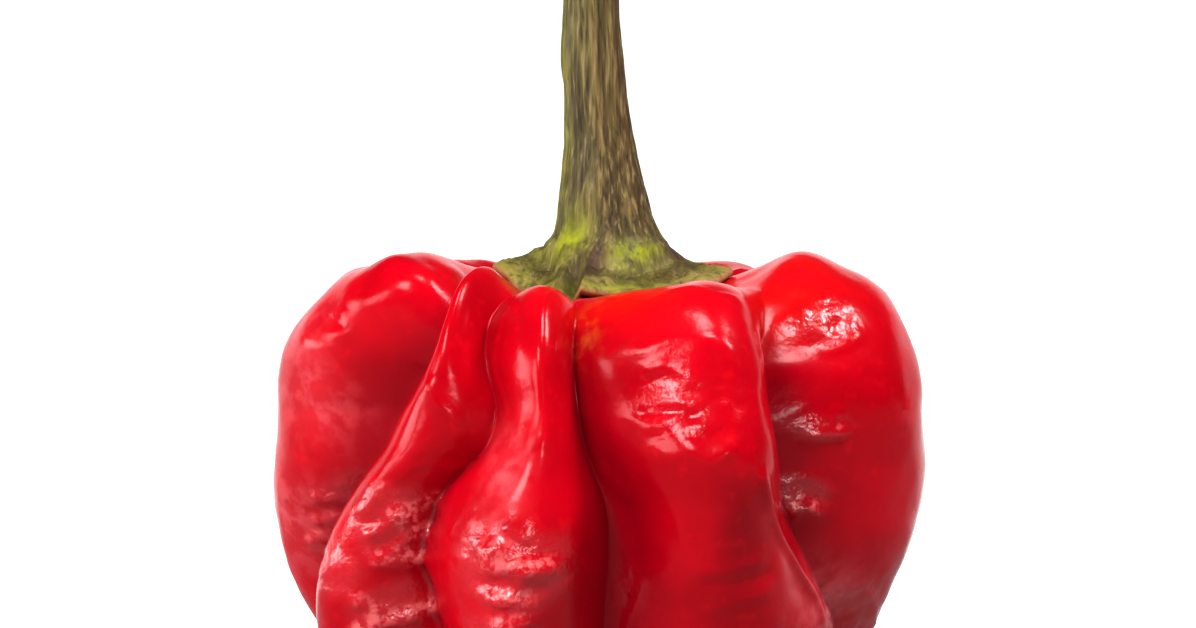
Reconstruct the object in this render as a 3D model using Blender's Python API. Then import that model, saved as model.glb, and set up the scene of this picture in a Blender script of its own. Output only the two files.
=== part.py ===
"""An ajicito pepper as picked: a wrinkled red pod standing on its blossom end, under its calyx and stem.

Metres, +Z up. The origin is on the surface that the pod stands on, under the middle of the object.
Azimuth is measured from the front (-Y) towards the right (+X). The skin's second coordinate, rise, is the share
of the way along the meridian from the blossom end, 0, to the seat of the calyx, 1.
"""

import math

import bmesh
import bpy
import numpy as np
from mathutils import Vector, noise

# Driving dimensions
POD_WIDTH = 0.0400
POD_HEIGHT = 0.0370
HALF_WIDTH = POD_WIDTH / 2

# Mesh density: rows of the pod from pole to pole, and the calyx's share of the pod's columns
POD_ROWS = 50
STEM_SHARE = 0.6

# The crest line of a plain lobe: (share of the half width, share of the height)
MERIDIAN = (
    (0.00, 0.075),
    (0.16, 0.040),
    (0.34, 0.000),
    (0.52, 0.040),
    (0.68, 0.135),
    (0.80, 0.245),
    (0.88, 0.360),
    (0.94, 0.460),
    (0.985, 0.560),
    (1.00, 0.680),
    (0.985, 0.800),
    (0.92, 0.900),
    (0.80, 0.970),
    (0.63, 1.000),
    (0.47, 0.975),
    (0.34, 0.955),
    (0.17, 0.948),
    (0.00, 0.947),
)
MERIDIAN_SAMPLES = 600

# Each fold between two lobes, at stations from the blossom end to the calyx: (rise, azimuth in degrees,
# depth as a share of the half width, softness of its left wall, softness of its right wall); a soft wall is
# a long slope
FOLDS = (
    ((0.00, -122, 0.00, 1.2, 1.2), (0.20, -120, 0.12, 1.1, 1.1), (0.45, -116, 0.14, 0.9, 0.9),
     (0.62, -112, 0.14, 0.8, 0.8), (0.76, -98, 0.12, 0.8, 0.8), (0.88, -108, 0.07, 0.9, 0.9),
     (1.00, -112, 0.00, 1.0, 1.0)),
    ((0.00, -88, 0.00, 1.2, 1.2), (0.22, -90, 0.10, 0.9, 0.9), (0.36, -87, 0.13, 0.9, 0.9),
     (0.44, -82, 0.16, 0.9, 1.0), (0.50, -72, 0.19, 1.1, 1.0), (0.56, -58, 0.22, 1.6, 0.8),
     (0.62, -48, 0.24, 2.4, 0.6), (0.68, -38, 0.24, 2.4, 0.6), (0.74, -35, 0.20, 1.8, 0.6),
     (0.80, -38, 0.14, 1.2, 0.7), (0.86, -46, 0.08, 1.0, 0.8), (0.92, -60, 0.04, 1.0, 0.8),
     (1.00, -80, 0.00, 1.0, 1.0)),
    ((0.00, -36, 0.00, 1.4, 1.4), (0.20, -37, 0.06, 1.2, 1.2), (0.40, -38, 0.13, 0.8, 0.9),
     (0.47, -38, 0.15, 0.7, 0.7), (0.52, -36, 0.16, 0.7, 0.7), (0.555, -32, 0.15, 0.9, 0.7),
     (0.59, -24, 0.14, 1.1, 0.6), (0.63, -22, 0.14, 0.9, 0.6), (0.68, -25, 0.14, 0.8, 0.6),
     (0.74, -27, 0.12, 0.8, 0.7), (0.80, -27, 0.09, 0.9, 0.8), (0.86, -27, 0.06, 1.0, 1.0),
     (0.92, -30, 0.03, 1.0, 1.0), (1.00, -38, 0.00, 1.0, 1.0)),
    ((0.00, 5, 0.00, 1.6, 1.6), (0.20, 4, 0.14, 1.4, 1.6), (0.40, 0, 0.19, 1.2, 2.0),
     (0.49, 1, 0.22, 1.1, 2.2), (0.54, 0, 0.22, 0.9, 1.8), (0.59, -4, 0.21, 0.7, 1.1),
     (0.65, -6, 0.18, 0.6, 0.7), (0.73, -7, 0.16, 0.6, 0.6), (0.78, -7, 0.12, 0.7, 0.7),
     (0.86, -10, 0.06, 0.8, 0.8), (1.00, -14, 0.00, 1.0, 1.0)),
    ((0.00, 66, 0.00, 1.6, 1.6), (0.20, 68, 0.09, 1.3, 1.3), (0.40, 63, 0.12, 0.8, 1.0),
     (0.45, 51, 0.15, 0.8, 1.0), (0.52, 41, 0.19, 0.8, 1.0), (0.59, 37, 0.22, 0.8, 1.0),
     (0.65, 36, 0.23, 0.8, 1.0), (0.75, 42, 0.18, 0.9, 1.1), (0.80, 48, 0.11, 1.0, 1.1),
     (0.86, 58, 0.05, 1.1, 1.2), (1.00, 72, 0.00, 1.2, 1.2)),
    ((0.00, 100, 0.00, 1.4, 1.4), (0.22, 102, 0.15, 1.0, 1.0), (0.45, 110, 0.15, 0.8, 0.8),
     (0.66, 112, 0.13, 0.7, 0.7), (0.86, 106, 0.09, 0.8, 0.8), (1.00, 108, 0.00, 1.0, 1.0)),
    ((0.00, 132, 0.00, 1.4, 1.4), (0.25, 134, 0.06, 1.2, 1.2), (0.45, 140, 0.12, 0.8, 1.1),
     (0.70, 134, 0.12, 0.7, 1.1), (0.86, 134, 0.07, 0.7, 0.7), (1.00, 136, 0.00, 1.0, 1.0)),
    ((0.00, 170, 0.00, 1.4, 1.4), (0.22, 171, 0.15, 1.1, 1.1), (0.45, 170, 0.16, 0.9, 0.9),
     (0.66, 164, 0.15, 0.7, 0.7), (0.86, 170, 0.10, 0.7, 0.7), (1.00, 172, 0.00, 1.0, 1.0)),
    ((0.00, 208, 0.00, 1.4, 1.4), (0.22, 210, 0.06, 1.2, 1.2), (0.45, 214, 0.12, 1.2, 0.8),
     (0.70, 206, 0.13, 1.2, 0.7), (0.86, 208, 0.08, 0.7, 0.7), (1.00, 212, 0.00, 1.0, 1.0)),
)

# Each lobe stands between its fold and the next one: (columns of the mesh, ((rise, where its crest lies
# between the two folds, swelling over the meridian as a share of the half width), ...))
LOBES = (
    (14, ((0.0, 0.5, 0.0), (0.11, 0.5, -0.03), (0.30, 0.5, 0.01), (0.43, 0.56, 0.045), (0.54, 0.52, 0.02),
          (0.62, 0.44, 0.005), (0.70, 0.48, 0.01), (0.77, 0.62, 0.02), (0.90, 0.5, 0.025),
          (1.0, 0.5, 0.0))),
    (10, ((0.0, 0.5, 0.0), (0.11, 0.4, 0.05), (0.25, 0.45, 0.03), (0.38, 0.58, 0.08), (0.45, 0.62, 0.07),
          (0.53, 0.62, 0.01), (0.62, 0.56, -0.02), (0.70, 0.55, 0.00), (0.76, 0.46, 0.02),
          (0.84, 0.4, -0.02),
          (0.92, 0.5, -0.05), (1.0, 0.5, 0.0))),
    (12, ((0.0, 0.5, 0.0), (0.11, 0.5, -0.02), (0.25, 0.52, 0.04), (0.36, 0.56, 0.08), (0.46, 0.58, 0.10),
          (0.53, 0.58, 0.06), (0.58, 0.60, 0.01), (0.63, 0.66, -0.02), (0.69, 0.70, -0.01),
          (0.76, 0.62, -0.02),
          (0.84, 0.45, -0.10), (0.91, 0.5, -0.095), (1.0, 0.5, 0.0))),
    (14, ((0.0, 0.5, 0.0), (0.11, 0.5, 0.04), (0.25, 0.5, -0.01), (0.38, 0.5, -0.04), (0.50, 0.52, 0.00),
          (0.58, 0.58, 0.095), (0.66, 0.62, 0.035), (0.74, 0.58, 0.00), (0.84, 0.5, -0.07),
          (0.92, 0.5, -0.04),
          (1.0, 0.5, 0.0))),
    (14, ((0.0, 0.5, 0.0), (0.11, 0.5, -0.02), (0.30, 0.5, -0.02), (0.44, 0.5, -0.02), (0.58, 0.5, 0.01),
          (0.78, 0.5, 0.01), (0.86, 0.5, -0.01), (1.0, 0.5, 0.0))),
    (8, ((0.0, 0.5, 0.0), (0.11, 0.5, 0.04), (0.30, 0.5, 0.00), (0.45, 0.5, 0.00), (0.70, 0.5, -0.02),
         (0.84, 0.5, -0.10), (1.0, 0.5, 0.0))),
    (9, ((0.0, 0.5, 0.0), (0.11, 0.42, -0.02), (0.30, 0.42, 0.00), (0.45, 0.42, 0.00), (0.70, 0.42, 0.00),
         (0.84, 0.45, -0.11), (1.0, 0.5, 0.0))),
    (10, ((0.0, 0.5, 0.0), (0.11, 0.5, 0.04), (0.30, 0.5, 0.00), (0.45, 0.5, 0.01), (0.70, 0.5, -0.01),
          (0.84, 0.5, -0.11), (1.0, 0.5, 0.0))),
    (10, ((0.0, 0.5, 0.0), (0.11, 0.56, -0.02), (0.30, 0.56, 0.00), (0.45, 0.56, -0.02),
    (0.70, 0.56, -0.01),
          (0.84, 0.5, -0.07), (1.0, 0.5, 0.0))),
)
# How far the columns of a lobe draw together towards its folds, 0 to 1
CROWDING = 0.45

# Humps and dents on the lobes: (azimuth in degrees, rise, half width in degrees, half height in rise,
# swelling)
HUMPS = (
    (-88, 0.758, 16, 0.035, 0.062),
    (-86, 0.665, 16, 0.065, 0.028),
    (-86, 0.430, 14, 0.050, 0.022),
    (86, 0.765, 16, 0.036, -0.026),
    (88, 0.630, 18, 0.095, -0.020),
    (-67, 0.702, 5, 0.020, -0.030),
    (-54, 0.770, 12, 0.022, 0.030),
    (-46, 0.685, 9, 0.032, -0.050),
    (-54, 0.630, 9, 0.045, -0.045),
    (-63, 0.550, 9, 0.055, -0.035),
    (13, 0.640, 9, 0.040, -0.020),
    (49, 0.700, 6, 0.030, -0.020),
    (-38, 0.480, 6, 0.030, 0.025),
    (33, 0.44, 6, 0.060, 0.020),
    (150, 0.55, 10, 0.060, -0.030),
    (-150, 0.62, 9, 0.050, -0.030),
    (188, 0.68, 8, 0.050, 0.025),
    (122, 0.50, 7, 0.060, -0.020),
    (75, 0.36, 10, 0.050, -0.030),
    (-100, 0.33, 9, 0.050, -0.025),
)
# Unevenness all over the skin: (size of the swellings, swelling as a share of the half width)
UNEVEN = ((0.0085, 0.020), (0.0042, 0.008))

# The stem from the calyx up to its cut end: (height, sideways shift of its middle, half width)
STEM_RINGS = (
    (0.0373, 0.00025, 0.00400),
    (0.0379, 0.00025, 0.00352),
    (0.0389, 0.00015, 0.00313),
    (0.0402, 0.00000, 0.00285),
    (0.0414, -0.00006, 0.00260),
    (0.0427, -0.00016, 0.00239),
    (0.0439, -0.00022, 0.00220),
    (0.0451, -0.00037, 0.00211),
    (0.0464, -0.00047, 0.00202),
    (0.0489, -0.00068, 0.00198),
    (0.0513, -0.00075, 0.00180),
    (0.0540, -0.00075, 0.00172),
    (0.0570, -0.00065, 0.00172),
    (0.0595, -0.00050, 0.00182),
    (0.0610, -0.00040, 0.00200),
    (0.0617, -0.00037, 0.00203),
    (0.0620, -0.00037, 0.00180),
    (0.0620, -0.00037, 0.00090),
)
# The stem's ridges: (azimuth in degrees, half width in degrees, height as a share of the half width)
STEM_RIDGES = ((-3, 13, 0.07), (62, 16, 0.06), (128, 15, 0.07), (-160, 16, 0.06), (-88, 15, 0.07))

# How far the calyx reaches down the skin from its seat, as a share of the meridian: (azimuth in degrees,
# reach)
CALYX_REACH = (
    (-180, 0.105), (-150, 0.128), (-125, 0.096), (-88, 0.108), (-62, 0.092), (-45, 0.104), (-30, 0.102),
    (-13, 0.116), (-1, 0.101), (18, 0.128), (34, 0.108), (52, 0.108), (70, 0.116), (88, 0.122),
    (112, 0.108),
    (142, 0.126), (180, 0.105),
)
# How much of the folds' depth the calyx follows
CALYX_FOLD_SHARE = 0.75
# Rows of the calyx out to its rim, below, and back from its rim to the stem, above: (share of the reach,
# height over the skin)
CALYX_BELOW = ((0.25, 0.0003), (0.50, 0.0003), (0.75, 0.0003), (0.90, 0.0003), (1.00, 0.0003))
CALYX_ABOVE = ((1.00, 0.0009), (0.93, 0.0010), (0.83, 0.0010), (0.72, 0.0012), (0.62, 0.0015))

POD_COLOUR = (0.60, 0.004, 0.010)
POD_ROUGHNESS = 0.22
STEM_COLOUR = (0.16, 0.14, 0.045)
STEM_ROUGHNESS = 0.65


def clear_scene():
    for obj in list(bpy.data.objects):
        bpy.data.objects.remove(obj, do_unlink=True)


def smooth_through(stations, at):
    """The smooth curve through stations of (place, value, ...), read at the places in the array `at`."""
    knots = np.array(stations, float)
    places, values = knots[:, 0], knots[:, 1:]
    slopes = np.gradient(values, places, axis=0)
    slopes[0], slopes[-1] = 0.0, 0.0
    index = np.clip(np.searchsorted(places, at, side="right") - 1, 0, len(places) - 2)
    span = places[index + 1] - places[index]
    t = np.clip((at - places[index]) / span, 0.0, 1.0)[..., None]
    span = span[..., None]
    return (
        values[index] * (1 + 2 * t) * (1 - t) ** 2
        + slopes[index] * span * t * (1 - t) ** 2
        + values[index + 1] * t**2 * (3 - 2 * t)
        - slopes[index + 1] * span * t**2 * (1 - t)
    )


def skin_meridian():
    """(rise, radius, height, outward normal in radius and height) along the crest line, evenly spaced."""
    outline = np.array(MERIDIAN, float) * (HALF_WIDTH, POD_HEIGHT)
    chords = np.linalg.norm(np.diff(outline, axis=0), axis=1)
    knots = np.concatenate([[0.0], np.cumsum(chords)])
    stations = np.column_stack([knots, outline])
    fine = smooth_through(stations, np.linspace(0.0, knots[-1], MERIDIAN_SAMPLES))
    length = np.concatenate([[0.0], np.cumsum(np.linalg.norm(np.diff(fine, axis=0), axis=1))])
    rise = length / length[-1]
    along = np.gradient(fine, length, axis=0)
    along[0] = (1.0, 0.0)
    along[-1] = (-1.0, 0.0)
    along /= np.linalg.norm(along, axis=1)[:, None]
    return rise, fine[:, 0], fine[:, 1], along[:, 1], -along[:, 0]


SKIN = skin_meridian()


def fold_values(number, rise):
    """Azimuth in degrees, depth and the two softnesses of a fold; folds are numbered round and round."""
    turn, index = divmod(number, len(FOLDS))
    values = smooth_through(FOLDS[index], rise)
    return values[..., 0] + 360.0 * turn, values[..., 1], values[..., 2], values[..., 3]


def uneven(points):
    """A share of the half width, swelling and sinking smoothly over the points."""
    total = np.zeros(len(points))
    for size, share in UNEVEN:
        total += share * np.array([noise.noise(Vector(point / size)) for point in points])
    return total


def pod_skin(lobe, across, rise, fold_share=1.0):
    """Points and outward normals on the skin, for lobe numbers, shares of the way across the lobe, and rises."""
    azimuth = np.zeros(len(rise))
    height = np.zeros(len(rise))
    for number, (_, stations) in enumerate(LOBES):
        here = lobe == number
        s, v = across[here], rise[here]
        left, left_depth, _, left_soft = fold_values(number, v)
        right, right_depth, right_soft, _ = fold_values(number + 1, v)
        azimuth[here] = left + (right - left) * s
        crest, lift = smooth_through(stations, v).T
        arch = np.sin(np.pi * s ** (math.log(0.5) / np.log(crest)))
        arch = np.clip(arch, 0.0, 1.0) ** (left_soft * (1 - s) + right_soft * s)
        depth = left_depth * (1 - s) + right_depth * s
        height[here] = lift * arch - depth * (1 - arch) * fold_share
    for where, level, half_width, half_height, share in HUMPS:
        turn = (azimuth - where + 180.0) % 360.0 - 180.0
        height += share * np.exp(-((turn / half_width) ** 2) - ((rise - level) / half_height) ** 2)
    angle = np.radians(azimuth)
    radius, level, normal_out, normal_up = (np.interp(rise, SKIN[0], column) for column in SKIN[1:])
    outward = np.stack([np.sin(angle) * normal_out, -np.cos(angle) * normal_out, normal_up], axis=-1)
    points = np.stack([np.sin(angle) * radius, -np.cos(angle) * radius, level], axis=-1)
    height += uneven(points)
    return points + outward * (height * HALF_WIDTH)[:, None], outward


def columns_of(share=1.0):
    """The lobe and the share across it of each column of a mesh with this share of the pod's columns."""
    lobe, across = [], []
    for number, (columns, _) in enumerate(LOBES):
        count = round(columns * share)
        even = np.arange(count) / count
        lobe.append(np.full(count, number))
        across.append(even * (1 - CROWDING) + (0.5 - 0.5 * np.cos(np.pi * even)) * CROWDING)
    return np.concatenate(lobe), np.concatenate(across)


def sphere_grid(name, columns, rows, place):
    """A UV sphere whose vertices are moved to place(column, row), with row 0 and row `rows` at the two poles."""
    shape = bmesh.new()
    bmesh.ops.create_uvsphere(shape, u_segments=columns, v_segments=rows, radius=1.0)
    co = np.array([v.co for v in shape.verts])
    row = np.round((1 - np.arccos(np.clip(co[:, 2], -1, 1)) / math.pi) * rows).astype(int)
    column = np.round(np.arctan2(co[:, 1], co[:, 0]) / math.tau * columns).astype(int) % columns
    for vertex, point in zip(shape.verts, place(column, row)):
        vertex.co = Vector(point)
    bmesh.ops.recalc_face_normals(shape, faces=shape.faces)
    mesh = bpy.data.meshes.new(name)
    shape.to_mesh(mesh)
    shape.free()
    mesh.shade_smooth()
    return bpy.data.objects.new(name, mesh)


def make_pod():
    lobe, across = columns_of()

    def place(column, row):
        points, _ = pod_skin(lobe[column], across[column], row / POD_ROWS)
        # The low points of the lobes are pressed flat by the surface
        points[:, 2] = np.maximum(points[:, 2], 0.0)
        return points

    return sphere_grid("pod", len(lobe), POD_ROWS, place)


def skin_azimuth(lobe, across, rise):
    points, _ = pod_skin(lobe, across, np.full(len(lobe), rise))
    return np.degrees(np.arctan2(points[:, 0], -points[:, 1]))


def calyx_rows(lobe, across, rows):
    """Points of the calyx, one row for each (share of the reach, height over the skin)."""
    reach = np.interp(skin_azimuth(lobe, across, 0.90), *zip(*CALYX_REACH))
    made = []
    for share, over in rows:
        points, outward = pod_skin(lobe, across, 1.0 - reach * share, CALYX_FOLD_SHARE)
        made.append(points + outward * over)
    return made


def stem_rows(azimuth):
    """Points of the stem, one row for each of its rings."""
    ridged = np.ones(len(azimuth))
    for where, half_width, share in STEM_RIDGES:
        turn = (azimuth - where + 180.0) % 360.0 - 180.0
        ridged += share * np.exp(-((turn / half_width) ** 2))
    angle = np.radians(azimuth)
    made = []
    for level, shift, half_width in STEM_RINGS:
        radius = half_width * ridged / (1 + STEM_RIDGES[-1][2])
        x, y = shift + radius * np.sin(angle), -radius * np.cos(angle)
        made.append(np.stack([x, y, np.full(len(angle), level)], axis=-1))
    return made


def make_stem():
    """The calyx and the stem, grown as one piece: a skin from the seat out to the rim, and back up to the tip."""
    lobe, across = columns_of(STEM_SHARE)
    below = calyx_rows(lobe, across, CALYX_BELOW)
    above = calyx_rows(lobe, across, CALYX_ABOVE)
    stem = stem_rows(skin_azimuth(lobe, across, 0.94))
    seat = np.tile(below[0].mean(axis=0), (len(lobe), 1))
    tip = np.tile((STEM_RINGS[-1][1], 0.0, STEM_RINGS[-1][0]), (len(lobe), 1))
    rows = np.array([seat] + below + above + stem + [tip])

    def place(column, row):
        return rows[row, column]

    return sphere_grid("stem_with_calyx", len(lobe), len(rows) - 1, place)


def paint(piece, colour, roughness):
    material = bpy.data.materials.new(piece.name)
    material.use_nodes = True
    shader = material.node_tree.nodes["Principled BSDF"]
    shader.inputs["Base Color"].default_value = (*colour, 1.0)
    shader.inputs["Roughness"].default_value = roughness
    shader.inputs["Metallic"].default_value = 0.0
    piece.data.materials.append(material)


def centre_on_origin(pieces):
    """Moves the pieces together, so that the middle of their bounding box is over the origin."""
    corners = np.array([corner for piece in pieces for corner in piece.bound_box])
    middle = (corners.min(axis=0) + corners.max(axis=0)) / 2
    for piece in pieces:
        piece.location = (-middle[0], -middle[1], 0.0)


def main():
    clear_scene()
    pepper = bpy.data.collections.new("ajicito_pepper")
    bpy.context.scene.collection.children.link(pepper)
    pod, stem = make_pod(), make_stem()
    paint(pod, POD_COLOUR, POD_ROUGHNESS)
    paint(stem, STEM_COLOUR, STEM_ROUGHNESS)
    for piece in (pod, stem):
        pepper.objects.link(piece)
    centre_on_origin((pod, stem))
    bpy.context.view_layer.update()


main()
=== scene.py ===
"""The looks of an ajicito pepper: its wrinkled skin, its calyx and stem, the materials, stage and light.

Metres, in the CAD frame. Azimuth is measured from the front (-Y) towards the right (+X), round the pod.
Rise is the share of the way along the pod's meridian from the blossom end, 0, to the calyx's seat, 1.
"""

import math

import bmesh
import bpy
import numpy as np
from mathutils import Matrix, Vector, noise
from mathutils.bvhtree import BVHTree


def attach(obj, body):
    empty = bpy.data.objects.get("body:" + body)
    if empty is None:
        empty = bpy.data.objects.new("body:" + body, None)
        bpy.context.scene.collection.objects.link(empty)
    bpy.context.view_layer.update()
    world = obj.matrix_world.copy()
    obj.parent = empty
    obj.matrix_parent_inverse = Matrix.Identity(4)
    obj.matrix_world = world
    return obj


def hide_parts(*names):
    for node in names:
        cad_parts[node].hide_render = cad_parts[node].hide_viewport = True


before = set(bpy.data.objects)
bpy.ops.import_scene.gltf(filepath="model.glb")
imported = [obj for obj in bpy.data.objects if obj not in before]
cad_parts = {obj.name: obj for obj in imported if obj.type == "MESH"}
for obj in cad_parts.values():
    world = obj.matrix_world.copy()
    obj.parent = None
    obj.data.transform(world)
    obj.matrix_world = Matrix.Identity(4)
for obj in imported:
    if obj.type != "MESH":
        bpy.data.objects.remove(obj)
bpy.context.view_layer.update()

# The camera: a long lens, a little above the pod's shoulders
LENS = 120.0
SENSOR = 36.0
CLIP = (0.01, 20.0)
CAMERA_ELEVATION = 5.0
LOOK_AT = (0.00003, 0.0, 0.0331)
# The photo's size in pixels, and its scale at the pod
PHOTO_WIDTH = 1196
PHOTO_HEIGHT = 628
PIXELS_PER_METRE = 16125

# Driving dimensions, as in the CAD
POD_WIDTH = 0.0400
POD_HEIGHT = 0.0370
HALF_WIDTH = POD_WIDTH / 2
# Where the pod's axis stands in the frame
AXIS = (0.00042, 0.00019)

# Mesh density: the pod's columns as a multiple of the CAD's, its rows, and the calyx's share of the columns
FINER = 4
POD_ROWS = 236
STEM_SHARE = 0.6
# The plain skin on which the photo's pixels are placed has this many times fewer columns and rows
COARSER = 2

# The crest line of a plain lobe: (share of the half width, share of the height)
MERIDIAN = (
    (0.00, 0.075),
    (0.16, 0.040),
    (0.34, 0.000),
    (0.52, 0.040),
    (0.68, 0.135),
    (0.80, 0.245),
    (0.88, 0.360),
    (0.94, 0.460),
    (0.985, 0.560),
    (1.00, 0.680),
    (0.985, 0.800),
    (0.92, 0.900),
    (0.80, 0.970),
    (0.63, 1.000),
    (0.47, 0.975),
    (0.34, 0.955),
    (0.17, 0.948),
    (0.00, 0.947),
)
MERIDIAN_SAMPLES = 600

# Each fold between two lobes, at stations from the blossom end to the calyx: (rise, azimuth in degrees,
# depth as a share of the half width, softness of its left wall, softness of its right wall). A soft wall is
# a long slope.
FOLDS = (
    ((0.00, -122, 0.00, 1.2, 1.2), (0.20, -120, 0.12, 1.1, 1.1), (0.45, -116, 0.14, 0.9, 0.9),
     (0.62, -112, 0.14, 0.8, 0.8), (0.76, -98, 0.12, 0.8, 0.8), (0.88, -108, 0.07, 0.9, 0.9),
     (1.00, -112, 0.00, 1.0, 1.0)),
    ((0.00, -88, 0.00, 1.2, 1.2), (0.22, -90, 0.10, 0.9, 0.9), (0.36, -87, 0.13, 0.9, 0.9),
     (0.44, -82, 0.16, 0.9, 1.0), (0.50, -72, 0.19, 1.1, 1.0), (0.56, -58, 0.22, 1.6, 0.8),
     (0.62, -48, 0.24, 2.4, 0.6), (0.68, -38, 0.24, 2.4, 0.6), (0.74, -35, 0.20, 1.8, 0.6),
     (0.80, -38, 0.14, 1.2, 0.7), (0.86, -46, 0.08, 1.0, 0.8), (0.92, -60, 0.04, 1.0, 0.8),
     (1.00, -80, 0.00, 1.0, 1.0)),
    ((0.00, -36, 0.00, 1.4, 1.4), (0.20, -37, 0.06, 1.2, 1.2), (0.40, -38, 0.13, 0.8, 0.9),
     (0.47, -38, 0.15, 0.7, 0.7), (0.52, -36, 0.16, 0.7, 0.7), (0.555, -32, 0.15, 0.9, 0.7),
     (0.59, -24, 0.14, 1.1, 0.6), (0.63, -22, 0.14, 0.9, 0.6), (0.68, -25, 0.14, 0.8, 0.6),
     (0.74, -27, 0.12, 0.8, 0.7), (0.80, -27, 0.09, 0.9, 0.8), (0.86, -27, 0.06, 1.0, 1.0),
     (0.92, -30, 0.03, 1.0, 1.0), (1.00, -38, 0.00, 1.0, 1.0)),
    ((0.00, 5, 0.00, 1.6, 1.6), (0.20, 4, 0.14, 1.4, 1.6), (0.40, 0, 0.19, 1.2, 2.0),
     (0.49, 1, 0.22, 1.1, 2.2), (0.54, 0, 0.22, 0.9, 1.8), (0.59, -4, 0.21, 0.7, 1.1),
     (0.65, -6, 0.18, 0.6, 0.7), (0.73, -7, 0.16, 0.6, 0.6), (0.78, -7, 0.12, 0.7, 0.7),
     (0.86, -10, 0.06, 0.8, 0.8), (1.00, -14, 0.00, 1.0, 1.0)),
    ((0.00, 66, 0.00, 1.6, 1.6), (0.20, 68, 0.09, 1.3, 1.3), (0.40, 63, 0.12, 0.8, 1.0),
     (0.45, 51, 0.15, 0.8, 1.0), (0.52, 41, 0.19, 0.8, 1.0), (0.59, 37, 0.22, 0.8, 1.0),
     (0.65, 36, 0.23, 0.8, 1.0), (0.75, 42, 0.18, 0.9, 1.1), (0.80, 48, 0.11, 1.0, 1.1),
     (0.86, 58, 0.05, 1.1, 1.2), (1.00, 72, 0.00, 1.2, 1.2)),
    ((0.00, 100, 0.00, 1.4, 1.4), (0.22, 102, 0.15, 1.0, 1.0), (0.45, 110, 0.15, 0.8, 0.8),
     (0.66, 112, 0.13, 0.7, 0.7), (0.86, 106, 0.09, 0.8, 0.8), (1.00, 108, 0.00, 1.0, 1.0)),
    ((0.00, 132, 0.00, 1.4, 1.4), (0.25, 134, 0.06, 1.2, 1.2), (0.45, 140, 0.12, 0.8, 1.1),
     (0.70, 134, 0.12, 0.7, 1.1), (0.86, 134, 0.07, 0.7, 0.7), (1.00, 136, 0.00, 1.0, 1.0)),
    ((0.00, 170, 0.00, 1.4, 1.4), (0.22, 171, 0.15, 1.1, 1.1), (0.45, 170, 0.16, 0.9, 0.9),
     (0.66, 164, 0.15, 0.7, 0.7), (0.86, 170, 0.10, 0.7, 0.7), (1.00, 172, 0.00, 1.0, 1.0)),
    ((0.00, 208, 0.00, 1.4, 1.4), (0.22, 210, 0.06, 1.2, 1.2), (0.45, 214, 0.12, 1.2, 0.8),
     (0.70, 206, 0.13, 1.2, 0.7), (0.86, 208, 0.08, 0.7, 0.7), (1.00, 212, 0.00, 1.0, 1.0)),
)

# Each lobe stands between its fold and the next one: (columns of the CAD's mesh, ((rise, where its crest
# lies between the two folds, swelling over the meridian as a share of the half width), ...))
LOBES = (
    (14, ((0.0, 0.5, 0.0), (0.11, 0.5, -0.03), (0.30, 0.5, 0.01), (0.43, 0.56, 0.045), (0.54, 0.52, 0.02),
          (0.62, 0.44, 0.005), (0.70, 0.48, 0.01), (0.77, 0.62, 0.02), (0.90, 0.5, 0.025),
          (1.0, 0.5, 0.0))),
    (10, ((0.0, 0.5, 0.0), (0.11, 0.4, 0.05), (0.25, 0.45, 0.03), (0.38, 0.58, 0.08), (0.45, 0.62, 0.07),
          (0.53, 0.62, 0.01), (0.62, 0.56, -0.02), (0.70, 0.55, 0.00), (0.76, 0.46, 0.02),
          (0.84, 0.4, -0.02), (0.92, 0.5, -0.05), (1.0, 0.5, 0.0))),
    (12, ((0.0, 0.5, 0.0), (0.11, 0.5, -0.02), (0.25, 0.52, 0.04), (0.36, 0.56, 0.08), (0.46, 0.58, 0.10),
          (0.53, 0.58, 0.06), (0.58, 0.60, 0.01), (0.63, 0.66, -0.02), (0.69, 0.70, -0.01),
          (0.76, 0.62, -0.02), (0.84, 0.45, -0.10), (0.91, 0.5, -0.095), (1.0, 0.5, 0.0))),
    (14, ((0.0, 0.5, 0.0), (0.11, 0.5, 0.04), (0.25, 0.5, -0.01), (0.38, 0.5, -0.04), (0.50, 0.52, 0.00),
          (0.58, 0.58, 0.095), (0.66, 0.62, 0.035), (0.74, 0.58, 0.00), (0.84, 0.5, -0.07),
          (0.92, 0.5, -0.04), (1.0, 0.5, 0.0))),
    (14, ((0.0, 0.5, 0.0), (0.11, 0.5, -0.02), (0.30, 0.5, -0.02), (0.44, 0.5, -0.02), (0.58, 0.5, 0.01),
          (0.78, 0.5, 0.01), (0.86, 0.5, -0.01), (1.0, 0.5, 0.0))),
    (8, ((0.0, 0.5, 0.0), (0.11, 0.5, 0.04), (0.30, 0.5, 0.00), (0.45, 0.5, 0.00), (0.70, 0.5, -0.02),
         (0.84, 0.5, -0.10), (1.0, 0.5, 0.0))),
    (9, ((0.0, 0.5, 0.0), (0.11, 0.42, -0.02), (0.30, 0.42, 0.00), (0.45, 0.42, 0.00), (0.70, 0.42, 0.00),
         (0.84, 0.45, -0.11), (1.0, 0.5, 0.0))),
    (10, ((0.0, 0.5, 0.0), (0.11, 0.5, 0.04), (0.30, 0.5, 0.00), (0.45, 0.5, 0.01), (0.70, 0.5, -0.01),
          (0.84, 0.5, -0.11), (1.0, 0.5, 0.0))),
    (10, ((0.0, 0.5, 0.0), (0.11, 0.56, -0.02), (0.30, 0.56, 0.00), (0.45, 0.56, -0.02),
          (0.70, 0.56, -0.01), (0.84, 0.5, -0.07), (1.0, 0.5, 0.0))),
)
# How far the columns of a lobe draw together towards its folds, 0 to 1
CROWDING = 0.45

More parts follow.
